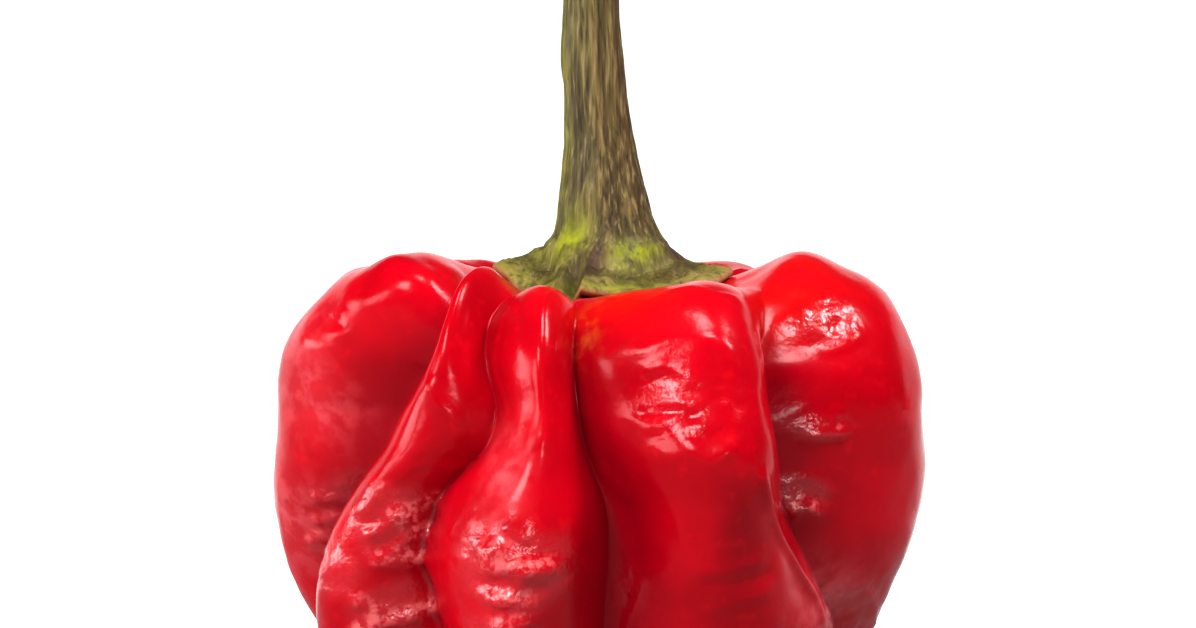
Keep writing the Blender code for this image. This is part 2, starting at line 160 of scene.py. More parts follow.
# Humps and dents on the lobes: (azimuth in degrees, rise, half width in degrees, half height in rise,
# swelling as a share of the half width)
HUMPS = (
    (-88, 0.758, 16, 0.035, 0.062),
    (-86, 0.665, 16, 0.065, 0.028),
    (-86, 0.430, 14, 0.050, 0.022),
    (86, 0.765, 16, 0.036, -0.026),
    (88, 0.630, 18, 0.095, -0.020),
    (-67, 0.702, 5, 0.020, -0.030),
    (-54, 0.770, 12, 0.022, 0.030),
    (-46, 0.685, 9, 0.032, -0.050),
    (-54, 0.630, 9, 0.045, -0.045),
    (-63, 0.550, 9, 0.055, -0.035),
    (13, 0.640, 9, 0.040, -0.020),
    (49, 0.700, 6, 0.030, -0.020),
    (-38, 0.480, 6, 0.030, 0.025),
    (33, 0.44, 6, 0.060, 0.020),
    (150, 0.55, 10, 0.060, -0.030),
    (-150, 0.62, 9, 0.050, -0.030),
    (188, 0.68, 8, 0.050, 0.025),
    (122, 0.50, 7, 0.060, -0.020),
    (75, 0.36, 10, 0.050, -0.030),
    (-100, 0.33, 9, 0.050, -0.025),
)
# Unevenness all over the skin: (size of the swellings, swelling as a share of the half width)
UNEVEN = ((0.0085, 0.020), (0.0042, 0.008))

# Crumpled patches of skin: (azimuth in degrees, rise, half width in degrees, half height in rise, height)
CRUMPLED = (
    (13, 0.640, 10, 0.050, 0.00013),
    (53, 0.722, 8, 0.034, 0.00024),
    (-39, 0.520, 8, 0.035, 0.00040),
    (-42, 0.440, 8, 0.025, 0.00032),
    (-15, 0.495, 9, 0.035, 0.00040),
    (-18, 0.430, 8, 0.030, 0.00030),
    (-66, 0.525, 7, 0.030, 0.00030),
    (47, 0.605, 6, 0.016, 0.00026),
    (43, 0.540, 7, 0.020, 0.00030),
    (62, 0.430, 9, 0.030, 0.00022),
    (-52, 0.480, 7, 0.025, 0.00034),
    (6, 0.450, 5, 0.040, 0.00014),
    (-66, 0.700, 6, 0.030, 0.00008),
    (95, 0.450, 10, 0.060, 0.00016),
    (90, 0.700, 10, 0.040, 0.00012),
    (150, 0.620, 14, 0.060, 0.00020),
    (195, 0.500, 14, 0.060, 0.00020),
    (188, 0.750, 10, 0.030, 0.00014),
    (-135, 0.550, 12, 0.070, 0.00020),
    (-95, 0.640, 8, 0.040, 0.00012),
)
# The pillows of crumpled skin: (size, share of the height), how high and low they go, how they are squeezed
# in height, so that more creases run across the lobes, and how far their noise is moved from other noise
PILLOWS = ((0.0024, 0.50), (0.0013, 0.35), (0.0008, 0.20))
PILLOW_GAIN, PILLOW_SINK = 2.4, 0.6
PILLOW_SQUEEZE = (1, 1, 1.7)
PILLOW_START = 0.003
# Skin crumpled this high has the full shine of crumpled skin, and a fold this deep its full painted shade, a
# dark red standing in for the shade in the folds
FULLY_CRUMPLED = 0.0002
FULLY_SHADED_FOLD = 0.2

# Ridges this high carry a painted highlight, a waxy pale pink, along their upper sides, this much of the
# rise over their middle, and from this share of their height
HIGHLIGHT_RIDGE = 0.0003
HIGHLIGHT_ABOVE = 0.006
HIGHLIGHT_START = 0.5
# How far a ridge or crease is followed out from its middle, in half widths, and the allowance for the pod's
# narrower parts, where the same width takes up more degrees
STROKE_REACH = 3
NARROW_PARTS = 1.4
# Keeps a distance of nothing from being divided by
TINY = 1e-9

# Waves of the skin everywhere: (size, height)
RIPPLES = ((0.0030, 0.00010), (0.0015, 0.00005))

# Ridges, and creases where the height is below zero, where the photo shows them: (half width, height,
# ((x, y) in the photo's pixels, ...))
STROKES = (
    # Ring round the first lobe's dimple
    (0.00028, 0.00014, ((322, 324), (325, 314), (333, 309), (343, 312), (349, 321), (347, 332), (338, 337),
                        (328, 334), (322, 324))),
    # Edge of the first lobe's shoulder
    (0.00080, 0.00028, ((368, 303), (385, 297), (405, 292), (425, 286), (445, 280), (458, 276))),
    # Streaks below it
    (0.00016, 0.00006, ((286, 417), (300, 449))),
    (0.00016, 0.00006, ((296, 415), (311, 450))),
    (0.00016, 0.00006, ((308, 416), (321, 451))),
    (0.00016, 0.00006, ((320, 417), (332, 450))),
    # Crease across the first lobe
    (0.00045, -0.00010, ((288, 409), (320, 412), (350, 411), (374, 409))),
    # Branch ridge on the second lobe
    (0.00040, 0.00022, ((431, 386), (441, 402), (452, 416), (458, 432))),
    # Wrinkles across the second lobe
    (0.00022, -0.00014, ((412, 461), (430, 458), (452, 462), (474, 459))),
    (0.00022, 0.00010, ((414, 468), (432, 464), (450, 468), (470, 465))),
    (0.00022, -0.00014, ((410, 474), (425, 470), (442, 474), (454, 477))),
    (0.00045, 0.00034, ((422, 514), (432, 506), (441, 499))),
    (0.00050, 0.00045, ((402, 512), (411, 524), (421, 534))),
    (0.00060, 0.00042, ((384, 563), (402, 561), (422, 559))),
    (0.00045, 0.00034, ((374, 536), (386, 528), (398, 520))),
    (0.00055, 0.00042, ((360, 631), (385, 626), (405, 618), (436, 610))),
    (0.00045, 0.00034, ((360, 600), (368, 606), (378, 612))),
    (0.00030, 0.00018, ((396, 545), (410, 542), (428, 540))),
    # Crest of the third lobe
    (0.00045, 0.00010, ((545, 296), (543, 325), (542, 352), (541, 378), (543, 402), (547, 428),
                        (545, 442))),
    # Its left edge
    (0.00030, 0.00010, ((516, 298), (500, 325), (494, 350), (493, 373), (503, 398), (506, 417), (502, 437),
                        (487, 454))),
    # Lower folds of the third lobe
    (0.00060, 0.00042, ((488, 566), (510, 569), (530, 572), (548, 570))),
    (0.00045, 0.00032, ((482, 551), (494, 550), (506, 552))),
    (0.00050, 0.00040, ((494, 598), (512, 602), (528, 605))),
    (0.00050, 0.00038, ((500, 628), (514, 626), (526, 621))),
    # Marks low on the first lobe
    (0.00040, 0.00034, ((316, 500), (326, 499), (336, 500))),
    (0.00040, 0.00034, ((320, 524), (328, 521), (335, 519))),
    (0.00040, 0.00034, ((314, 542), (321, 539), (328, 536))),
    # Rim of the dish on the fourth lobe, high side
    (0.00040, 0.00009, ((640, 352), (662, 340), (690, 335), (716, 338), (730, 350))),
    (0.00035, 0.00009, ((648, 372), (664, 364), (682, 368), (695, 380))),
    (0.00020, -0.00010, ((640, 386), (660, 376), (680, 384), (692, 396))),
    # Its middle crease
    (0.00020, -0.00020, ((642, 412), (662, 414), (680, 410), (695, 414), (712, 402), (724, 394))),
    (0.00020, -0.00016, ((652, 436), (668, 434), (684, 424), (692, 416))),
    (0.00035, 0.00008, ((634, 420), (650, 428), (672, 428))),
    (0.00035, 0.00010, ((722, 400), (734, 416), (738, 434), (728, 452))),
    (0.00045, 0.00016, ((668, 456), (690, 452), (712, 464), (728, 452))),
    (0.00022, -0.00016, ((690, 432), (706, 438), (722, 432))),
    (0.00020, -0.00014, ((712, 352), (716, 372), (722, 384))),
    # Streaks at the top of the fourth lobe
    (0.00022, 0.00010, ((614, 322), (632, 312), (650, 309), (668, 307))),
    (0.00020, 0.00008, ((650, 300), (668, 292), (690, 287))),
    (0.00020, 0.00009, ((697, 289), (715, 292), (738, 299))),
    (0.00018, 0.00007, ((700, 295), (722, 297), (742, 303))),
    # Edge of the dark valley
    (0.00045, 0.00020, ((604, 470), (614, 482), (624, 493))),
    (0.00040, 0.00016, ((645, 474), (664, 500), (680, 526), (690, 550), (701, 572))),
    (0.00028, 0.00016, ((625, 630), (632, 608), (641, 588))),
    # Folds across the foot of the fourth lobe
    (0.00035, -0.00014, ((708, 588), (736, 582), (766, 574))),
    (0.00035, 0.00010, ((712, 572), (738, 566), (762, 560))),
    (0.00035, 0.00010, ((710, 610), (740, 601), (768, 592))),
    # Ridge beside the fold to the fifth lobe
    (0.00040, 0.00028, ((763, 478), (769, 500), (777, 524), (788, 549), (802, 572), (815, 594),
                        (823, 622))),
    # Marks on the fifth lobe
    (0.00045, 0.00030, ((812, 436), (826, 433), (842, 435))),
    (0.00055, 0.00042, ((791, 511), (800, 507), (812, 511))),
    (0.00022, -0.00022, ((831, 300), (830, 312), (834, 326))),
    (0.00022, -0.00022, ((847, 317), (840, 326), (832, 335))),
    (0.00030, 0.00014, ((800, 308), (812, 332), (826, 352), (844, 350), (858, 336))),
    (0.00030, 0.00012, ((836, 592), (848, 606), (856, 622))),
    (0.00030, 0.00012, ((862, 588), (870, 604), (874, 624))),
)

# Where a painted reflection, a dull pink sheen, pales the skin, where yellow flecks it, and where painted
# light makes the red of the lobes' tops warmer and brighter: (azimuth in degrees, rise, half width in
# degrees, half height in rise, strength)
# Painted reflection: a dull pink sheen where the skin would mirror the pale light at its side
SHEEN_PATCHES = (
    (-76, 0.680, 7, 0.050, 1.0),
    (-71, 0.625, 8, 0.045, 1.0),
    (-83, 0.500, 9, 0.070, 1.0),
    (-17, 0.575, 4, 0.035, 1.0),
    (52, 0.425, 10, 0.040, 1.0),
    (160, 0.640, 14, 0.060, 1.0),
    (-140, 0.560, 12, 0.070, 1.0),
)
FLECKS = (
    (-4, 0.735, 3, 0.040, 1.0),
    (-14, 0.765, 2, 0.010, 1.0),
    (2, 0.790, 6, 0.012, 1.0),
    (150, 0.780, 8, 0.030, 1.0),
    (-120, 0.790, 6, 0.020, 1.0),
)
# Painted light: a warmer, brighter orange-red on the tops of the lobes, where the light falls
LIT_TOPS = (
    (55, 0.800, 22, 0.080, 1.0),
    (5, 0.760, 14, 0.040, 1.0),
    (100, 0.780, 16, 0.060, 1.0),
    (170, 0.800, 20, 0.060, 1.0),
)

# The stem from the calyx up to its cut end: (height, sideways shift of its middle, half width)
STEM_RINGS = (
    (0.0373, 0.00025, 0.00400),
    (0.0379, 0.00025, 0.00352),
    (0.0389, 0.00015, 0.00313),
    (0.0402, 0.00000, 0.00285),
    (0.0414, -0.00006, 0.00260),
    (0.0427, -0.00016, 0.00239),
    (0.0439, -0.00022, 0.00220),
    (0.0451, -0.00037, 0.00211),
    (0.0464, -0.00047, 0.00202),
    (0.0489, -0.00068, 0.00198),
    (0.0513, -0.00075, 0.00180),
    (0.0540, -0.00075, 0.00172),
    (0.0570, -0.00065, 0.00172),
    (0.0595, -0.00050, 0.00182),
    (0.0610, -0.00040, 0.00200),
    (0.0617, -0.00037, 0.00203),
)
STEM_TOP = 0.0620
# The rounded cut end, in to its middle: (share of the last ring's radius, share of the way up to the top),
# and how far its middle lies below the top
STEM_TIP = ((0.97, 0.5), (0.90, 0.85), (0.75, 1.0), (0.60, 0.97), (0.45, 0.93), (0.25, 0.88))
TIP_DIP = 0.0001
# The stem's ridges: (azimuth in degrees, half width in degrees, height as a share of the half width)
STEM_RIDGES = ((-3, 13, 0.07), (62, 16, 0.06), (128, 15, 0.07), (-160, 16, 0.06), (-88, 15, 0.07))
STEM_ROWS = 90
# How far the ridges turn from the calyx to the cut end, in degrees
STEM_TURN = 14
# Fine grooves along the stem: (how many round the stem, depth), and how far and how often they sway
STEM_GROOVES = ((23, 0.000035), (41, 0.000020))
GROOVE_SWAY, GROOVE_WAVES = 3, 900

# How far the calyx reaches down the skin from its seat, as a share of the meridian: (azimuth, reach)
CALYX_REACH = (
    (-180, 0.105), (-150, 0.128), (-125, 0.096), (-88, 0.108), (-62, 0.092), (-45, 0.104),
    (-30, 0.102), (-13, 0.116), (-1, 0.101), (18, 0.128), (34, 0.108), (52, 0.108),
    (70, 0.116), (88, 0.122), (112, 0.108), (142, 0.126), (180, 0.105),
)
# The calyx sinks this share of the way into the folds, and its columns stand over the pod's at this rise
CALYX_FOLD_SHARE = 0.75
CALYX_MIDDLE = 0.94
# Rows of the calyx out to its rim, below, and back from its rim to the stem, above: (share of the reach,
# height over the skin)
CALYX_BELOW = ((0.25, -0.0002), (0.60, -0.0002), (0.90, -0.0001), (0.985, 0.0001))
CALYX_ABOVE = (
    (1.000, 0.00030), (0.995, 0.00048), (0.975, 0.0006), (0.95, 0.0007), (0.92, 0.0008),
    (0.89, 0.0008), (0.86, 0.0009), (0.83, 0.0009), (0.80, 0.0010), (0.77, 0.0011),
    (0.74, 0.0012), (0.71, 0.0013), (0.68, 0.0014), (0.65, 0.0015), (0.62, 0.0016),
)
# How far the calyx's edge wanders, as a share of the meridian, the size of its waves, and the rim's radius
RAGGED = 0.004
RAGGED_SIZE = 0.0011
RIM_RADIUS = 0.007
# Wrinkles on the calyx: (size, height), and how high and low they go
CALYX_WRINKLES = ((0.0016, 0.00028), (0.0008, 0.00014))
WRINKLE_GAIN, WRINKLE_SINK = 1.6, 0.3
# Its veins: how many, how far and how often they sway round the stem, how narrow they are, and their height
CALYX_VEINS = 17
VEIN_SWAY, VEIN_WAVES = 2, 3
VEIN_SHARPNESS = 4
VEIN_HEIGHT = 0.00018
# Wrinkles and veins fade out over this last share of the reach
RIM_FADE = 0.4
# How pale the rim is, and over how many rows
RIM_PALENESS = 0.8
RIM_ROWS = 2.0
# Knobs along the stem: (size, height), and how they are stretched along it
STEM_KNOBS = ((0.0014, 0.00007), (0.0007, 0.00003))
KNOB_STRETCH = (1, 1, 0.4)
# Marks on the stem and calyx, by colour: (azimuth in degrees, height, half width in degrees, half height,
# strength)
STEM_MARKS = {
    "green": (
        (30, 0.0371, 30, 0.0008, 1.0),
        (-45, 0.0382, 22, 0.0015, 1.0),
        (-80, 0.0440, 20, 0.0120, 0.4),
        (-10, 0.0352, 60, 0.0006, 0.5),
        (120, 0.0370, 40, 0.0014, 0.8),
        (-150, 0.0375, 40, 0.0016, 0.9),
        (-130, 0.0480, 20, 0.0100, 0.6),
    ),
    "brown": (
        (55, 0.0480, 45, 0.0120, 1.0),
        (170, 0.0500, 40, 0.0120, 0.8),
        (-20, 0.0370, 14, 0.0010, 0.6),
    ),
    "tan": (
        (1, 0.0500, 5, 0.0140, 1.0),
        (-58, 0.0520, 5, 0.0120, 0.5),
        (38, 0.0480, 4, 0.0100, 0.5),
    ),
    "scar": (
        (-10, 0.0368, 7, 0.0009, 0.9),
        (-22, 0.0358, 8, 0.0007, 0.9),
        (78, 0.0370, 16, 0.0008, 0.9),
        (102, 0.0364, 14, 0.0007, 0.7),
        (-110, 0.0365, 10, 0.0008, 0.5),
    ),
}

# The colours of the skin; among them a dark red painted as the shade in the folds, an orange-red painted as
# light on the lobes' tops, a dull pink painted as a sheen and a waxy pink painted as highlights
DEEP_RED, RED, BRIGHT_RED = (0.47, 0.0003, 0.011), (0.58, 0.0006, 0.015), (0.66, 0.003, 0.014)
FOLD_SHADE_RED, LIT_ORANGE_RED = (0.33, 0.0002, 0.012), (0.72, 0.010, 0.004)
YELLOW, SHEEN_PINK, HIGHLIGHT_PINK = (0.62, 0.17, 0.02), (0.70, 0.115, 0.135), (0.85, 0.22, 0.22)
# Its colours and its painted light, sheen and highlights that lie in patches, uneven inside: (what the mesh
# keeps of them, size and detail of the unevenness, between which of its values the colour goes from which
# share to which, colour)
SKIN_PATCHES = (
    # Painted light on the lobes' tops
    ("lit_top", (0.005, 2.0), (0.3, 0.7, 0.3, 1.0), LIT_ORANGE_RED),
    ("fleck", (0.0010, 4.0), (0.42, 0.70, 0.0, 0.6), YELLOW),
    # Painted reflection: a dull pink sheen
    ("painted_sheen", (0.0016, 4.0), (0.40, 0.62, 0.25, 0.85), SHEEN_PINK),
    # Painted highlight: a waxy pink on the upper sides of the tall ridges
    ("pale", (0.0006, 2.0), (0.44, 0.60, 0.0, 0.75), HIGHLIGHT_PINK),
)
# The colours of the stem and calyx
DARK_BARK, BARK = (0.080, 0.062, 0.024), (0.200, 0.170, 0.062)
BROWN, TAN = (0.120, 0.066, 0.026), (0.300, 0.215, 0.085)
DARK_FIBRE, PALE_FIBRE, CALYX_OLIVE = (0.045, 0.034, 0.018), (0.380, 0.300, 0.140), (0.360, 0.270, 0.075)
DARK_GREEN, GREEN = (0.200, 0.220, 0.014), (0.360, 0.400, 0.016)
SPOT, SCAR, PALE_RIM = (0.050, 0.030, 0.022), (0.075, 0.026, 0.030), (0.420, 0.200, 0.110)

# How light sinks into the skin: share of the light, reach by colour, and how far that reach goes
SINKING_SHARE = 0.10
SINKING_REACH = (1.0, 0.10, 0.06)
SINKING_SCALE = 0.002
# Depths of the finest relief, which the materials draw
PORE_DEPTH, CREASE_DEPTH = 0.000008, 0.00010
FIBRE_DEPTH, STREAK_DEPTH, MOTTLE_DEPTH = 0.00006, 0.00016, 0.00016
# Streaks and fibres are drawn out along the stem
STREAK_STRETCH, FIBRE_STRETCH = (1, 1, 0.10), (1, 1, 0.07)

# The lights, all at the same distance round the pod: (name, azimuth and elevation in degrees, size, power)
LIGHTS = (
    ("key_box", -34, 34, (0.20, 0.18), 2.5),
    ("front_box", 14, 5, (0.15, 0.05), 0.6),
    ("top_box", 34, 70, (0.16, 0.16), 2.2),
    ("right_box", 82, 48, (0.15, 0.15), 2.2),
    ("sheen_box", -62, 12, (0.22, 0.16), 1.2),
    ("left_box", -94, 6, (0.30, 0.16), 1.4),
)
LIGHT_DISTANCE = 0.6
LIGHT_TARGET = (0, 0, 0.025)
ROOM_LIGHT = 0.06
GAMMA = 0.8
# The floor is level from its front edge to the bend, and rises behind it in a quarter round
FLOOR_STEPS = 40
FLOOR_HALF_WIDTH = 1.5
FLOOR_FRONT = -1.0
FLOOR_BEND = 0.6
BEND_RADIUS = 0.6
FLOOR_GREY = 0.34
FLOOR_ROUGHNESS = 0.9
# Behind the pepper the floor turns to glowing white between these depths, as in the photo
WHITE_FROM, WHITE_TO = 0.05, 0.085


def smooth_through(stations, at):
    """The smooth curve through stations of (place, value, ...), read at the places in the array `at`."""
    knots = np.array(stations, float)
    places, values = knots[:, 0], knots[:, 1:]
    slopes = np.gradient(values, places, axis=0)
    slopes[0], slopes[-1] = 0.0, 0.0
    index = np.clip(np.searchsorted(places, at, side="right") - 1, 0, len(places) - 2)
    span = places[index + 1] - places[index]
    t = np.clip((at - places[index]) / span, 0.0, 1.0)[..., None]
    span = span[..., None]
    return (
        values[index] * (1 + 2 * t) * (1 - t) ** 2
        + slopes[index] * span * t * (1 - t) ** 2
        + values[index + 1] * t**2 * (3 - 2 * t)
        - slopes[index + 1] * span * t**2 * (1 - t)
    )


def skin_meridian():
    """(rise, radius, height, outward normal in radius and height) along the crest line, evenly spaced."""
    outline = np.array(MERIDIAN, float) * (HALF_WIDTH, POD_HEIGHT)
    chords = np.linalg.norm(np.diff(outline, axis=0), axis=1)
    knots = np.concatenate([[0.0], np.cumsum(chords)])
    stations = np.column_stack([knots, outline])
    fine = smooth_through(stations, np.linspace(0.0, knots[-1], MERIDIAN_SAMPLES))
    length = np.concatenate([[0.0], np.cumsum(np.linalg.norm(np.diff(fine, axis=0), axis=1))])
    rise = length / length[-1]
    along = np.gradient(fine, length, axis=0)
    along[0] = (1.0, 0.0)
    along[-1] = (-1.0, 0.0)
    along /= np.linalg.norm(along, axis=1)[:, None]
    return rise, fine[:, 0], fine[:, 1], along[:, 1], -along[:, 0], length


SKIN = skin_meridian()


def fold_values(number, rise):
    """Azimuth in degrees, depth and the two softnesses of a fold; folds are numbered round and round."""
    turn, index = divmod(number, len(FOLDS))
    values = smooth_through(FOLDS[index], rise)
    return values[..., 0] + 360.0 * turn, values[..., 1], values[..., 2], values[..., 3]


def noise_at(points, size):
    """Smooth noise from -1 to 1 with swellings of this size."""
    return np.array([noise.noise(point) for point in map(Vector, points / size)])


def uneven(points):
    """A share of the half width, swelling and sinking smoothly over the points."""
    total = np.zeros(len(points))
    for size, share in UNEVEN:
        total += share * noise_at(points, size)
    return total


def turn_from(azimuth, where):
    """The turn from one azimuth to others, within half a turn either way."""
    return (azimuth - where + 180.0) % 360.0 - 180.0


def patch(azimuth, level, where, middle, half_width, half_height):
    """A soft round patch, 1 in its middle."""
    return np.exp(-((turn_from(azimuth, where) / half_width) ** 2) - ((level - middle) / half_height) ** 2)


def marked(azimuth, level, marks):
    """The strength of the strongest of some soft patches, at these azimuths and rises or heights."""
    total = np.zeros(len(azimuth))
    for where, middle, half_width, half_height, strength in marks:
        total = np.maximum(total, strength * patch(azimuth, level, where, middle, half_width, half_height))
    return total


def pod_skin(lobe, across, rise, fold_share=1.0):
    """Points, outward normals, azimuths and depths of folds, for lobes, shares across them, and rises."""
    azimuth = np.zeros(len(rise))
    height = np.zeros(len(rise))
    folded = np.zeros(len(rise))
    for number, (_, stations) in enumerate(LOBES):
        here = lobe == number
        s, v = across[here], rise[here]
        left, left_depth, _, left_soft = fold_values(number, v)
        right, right_depth, right_soft, _ = fold_values(number + 1, v)
        azimuth[here] = left + (right - left) * s
        crest, lift = smooth_through(stations, v).T
        arch = np.sin(np.pi * s ** (math.log(0.5) / np.log(crest)))
        arch = np.clip(arch, 0.0, 1.0) ** (left_soft * (1 - s) + right_soft * s)
        depth = left_depth * (1 - s) + right_depth * s
        folded[here] = depth * (1 - arch)
        height[here] = lift * arch - folded[here] * fold_share
    for where, middle, half_width, half_height, share in HUMPS:
        height += share * patch(azimuth, rise, where, middle, half_width, half_height)
    angle = np.radians(azimuth)
    radius, level, normal_out, normal_up = (np.interp(rise, SKIN[0], column) for column in SKIN[1:5])
    outward = np.stack([np.sin(angle) * normal_out, -np.cos(angle) * normal_out, normal_up], axis=-1)
    points = np.stack([np.sin(angle) * radius, -np.cos(angle) * radius, level], axis=-1)
    height += uneven(points)
    return points + outward * (height * HALF_WIDTH)[:, None], outward, azimuth, folded


def columns_of(share):
    """The lobe of each column and its share of the way across, for this multiple of the CAD's columns."""
    lobe, across = [], []
    for number, (columns, _) in enumerate(LOBES):
        count = round(columns * share)
        even = np.arange(count) / count
        lobe.append(np.full(count, number))
        across.append(even * (1 - CROWDING) + (0.5 - 0.5 * np.cos(np.pi * even)) * CROWDING)
    return np.concatenate(lobe), np.concatenate(across)


def closed_grid(name, columns, rows, place):
    """A closed skin of rings round two poles; place(column, row) gives points and values kept on them."""
    ring = np.arange(columns)
    column = np.concatenate([[0], np.tile(ring, rows - 1), [0]])
    row = np.concatenate([[0], np.repeat(np.arange(1, rows), columns), [rows]])
    points, kept = place(column, row)
    first = 1 + columns * np.arange(rows - 1)[:, None]
    low, high = first[:-1] + ring, first[1:] + ring
    following = np.roll(ring, -1)
    quads = np.stack([low, first[:-1] + following, first[1:] + following, high], axis=-1).reshape(-1, 4)
    bottom = [(0, first[0, 0] + following[n], first[0, 0] + n) for n in ring]
    top = [(len(row) - 1, first[-1, 0] + n, first[-1, 0] + following[n]) for n in ring]
    mesh = bpy.data.meshes.new(name)
    mesh.from_pydata((points + (AXIS[0], AXIS[1], 0.0)).tolist(), [], bottom + quads.tolist() + top)
    mesh.shade_smooth()
    for title, values in kept.items():
        layer = mesh.attributes.new(title, "FLOAT", "POINT")
        layer.data.foreach_set("value", values.astype(np.float32))
    obj = bpy.data.objects.new(name, mesh)
    bpy.context.scene.collection.objects.link(obj)
    return obj


def towards_camera():
    """The direction from the pepper to the camera, and how far away the camera is."""
    e = math.radians(CAMERA_ELEVATION)
    return Vector((0, -math.cos(e), math.sin(e))), LENS / SENSOR * PHOTO_WIDTH / PIXELS_PER_METRE


def lay_strokes():
    """The strokes, with each pixel turned into the azimuth and rise where its sight line meets the skin."""
    lobe, across = columns_of(FINER / COARSER)
    columns, rows = len(lobe), POD_ROWS // COARSER
    row, column = np.divmod(np.arange(columns * (rows + 1)), columns)
    rise = row / rows
    points, _, azimuth, _ = pod_skin(lobe[column], across[column], rise)
    points += (AXIS[0], AXIS[1], 0.0)
    corner = np.arange(columns * rows).reshape(rows, columns)
    beside = np.roll(corner, -1, axis=1)
    faces = np.stack([corner, beside, beside + columns, corner + columns], axis=-1).reshape(-1, 4)
    tree = BVHTree.FromPolygons(points.tolist(), faces.tolist())
    away, distance = towards_camera()
    eye = Vector(LOOK_AT) + away * distance
    right = Vector((1, 0, 0))
    up = away.cross(right)
    laid = []
    for half_width, tall, pixels in STROKES:
        stations = []
        for x, y in pixels:
            aside = right * (x - PHOTO_WIDTH / 2) - up * (y - PHOTO_HEIGHT / 2)
            sight = (aside - away * (LENS / SENSOR * PHOTO_WIDTH)).normalized()
            spot, _, face, _ = tree.ray_cast(eye, sight)
            near = faces[face]
            closeness = 1 / (np.linalg.norm(points[near] - spot, axis=1) + TINY)
            stations.append([np.average(values[near], weights=closeness) for values in (azimuth, rise)])
        laid.append((half_width, tall, stations))
    return laid


def stroked(strokes, azimuth, rise, least=-1.0):
    """Height of the ridges and creases that are at least so tall."""
    radius = np.interp(rise, SKIN[0], SKIN[1])
    length = SKIN[5][-1]
    height = np.zeros(len(rise))
    for half_width, tall, stations in strokes:
        if tall < least:
            continue
        path = np.array(stations)
        reach = STROKE_REACH * half_width
        margin = (math.degrees(reach / HALF_WIDTH) * NARROW_PARTS, reach / length)
        low, high = path.min(axis=0) - margin, path.max(axis=0) + margin
        near = np.flatnonzero((azimuth > low[0]) & (azimuth < high[0]) & (rise > low[1]) & (rise < high[1]))
        closest = np.full(len(near), np.inf)
        for (a_start, r_start), (a_end, r_end) in zip(path[:-1], path[1:]):
            across = np.radians(azimuth[near] - a_start) * radius[near]
            along = (rise[near] - r_start) * length
            step_across = math.radians(a_end - a_start) * radius[near]
            step_along = (r_end - r_start) * length
            t = (across * step_across + along * step_along) / (step_across**2 + step_along**2)
            t = np.clip(t, 0.0, 1.0)
            closest = np.minimum(closest, np.hypot(across - t * step_across, along - t * step_along))
        height[near] += tall * np.exp(-((closest / half_width) ** 2))
    return height


def skin_relief(strokes, points, azimuth, rise):
    """Height of everything finer than the lobes."""
    pillows = np.zeros(len(rise))
    for size, share in PILLOWS:
        creased = np.abs(noise_at(points * PILLOW_SQUEEZE + PILLOW_START, size))
        pillows += share * (PILLOW_GAIN * creased - PILLOW_SINK)
    height = marked(azimuth, rise, CRUMPLED) * pillows + stroked(strokes, azimuth, rise)
    for size, tall in RIPPLES:
        height += tall * noise_at(points, size)
    return height


def make_pod():
    """The pod, with the relief of its skin and with where its colours, its painted shade and light, its
    painted sheen and its painted highlights lie.
    """
    lobe, across = columns_of(FINER)
    strokes = lay_strokes()

    def place(column, row):
        rise = row / POD_ROWS
        points, outward, azimuth, folded = pod_skin(lobe[column], across[column], rise)
        points += outward * skin_relief(strokes, points, azimuth, rise)[:, None]
        # The low points of the lobes are pressed flat by the surface
        points[:, 2] = np.maximum(points[:, 2], 0.0)
        # Painted highlight: where the upper sides of the tall ridges would catch the light
        ridges = stroked(strokes, azimuth, rise - HIGHLIGHT_ABOVE, HIGHLIGHT_RIDGE)
        return points, {
            # The depth of the folds, which sets the painted shade in them
            "folded": folded / FULLY_SHADED_FOLD,
            "fleck": marked(azimuth, rise, FLECKS),
            # Painted light on the tops of the lobes
            "lit_top": marked(azimuth, rise, LIT_TOPS),
            # Painted reflection: a dull pink sheen
            "painted_sheen": marked(azimuth, rise, SHEEN_PATCHES),
            "crumple": marked(azimuth, rise, CRUMPLED) / FULLY_CRUMPLED,
            "pale": np.clip(ridges / HIGHLIGHT_RIDGE - HIGHLIGHT_START, 0.0, 1.0),
        }

    return closed_grid("pod_skin_fine", len(lobe), POD_ROWS, place)


def calyx_rows(lobe, across, azimuth, rows, relief):
    """Points of the calyx, one row for each (share of the reach, height over the skin)."""
    reach = np.interp(turn_from(azimuth, 0.0), *zip(*CALYX_REACH))
    angle = np.radians(azimuth)
    edge = np.stack([np.sin(angle), np.cos(angle), np.zeros(len(angle))], axis=-1) * RIM_RADIUS
    reach = reach + RAGGED * noise_at(edge, RAGGED_SIZE)
    made = []
    for share, over in rows:
        points, outward, _, _ = pod_skin(lobe, across, 1.0 - reach * share, CALYX_FOLD_SHARE)
        points += outward * over
        if relief:
            wrinkles = np.zeros(len(points))
            for size, tall in CALYX_WRINKLES:
                wrinkles += tall * (WRINKLE_GAIN * np.abs(noise_at(points, size)) - WRINKLE_SINK)
            veins = 0.5 + 0.5 * np.cos(CALYX_VEINS * angle + VEIN_SWAY * np.sin(VEIN_WAVES * angle))
            wrinkles += VEIN_HEIGHT * veins**VEIN_SHARPNESS
            fade = math.sin(math.pi * min((1.0 - share) / RIM_FADE, 1.0) * 0.5)
            points += outward * (wrinkles * fade)[:, None]
        made.append(points)
    return made


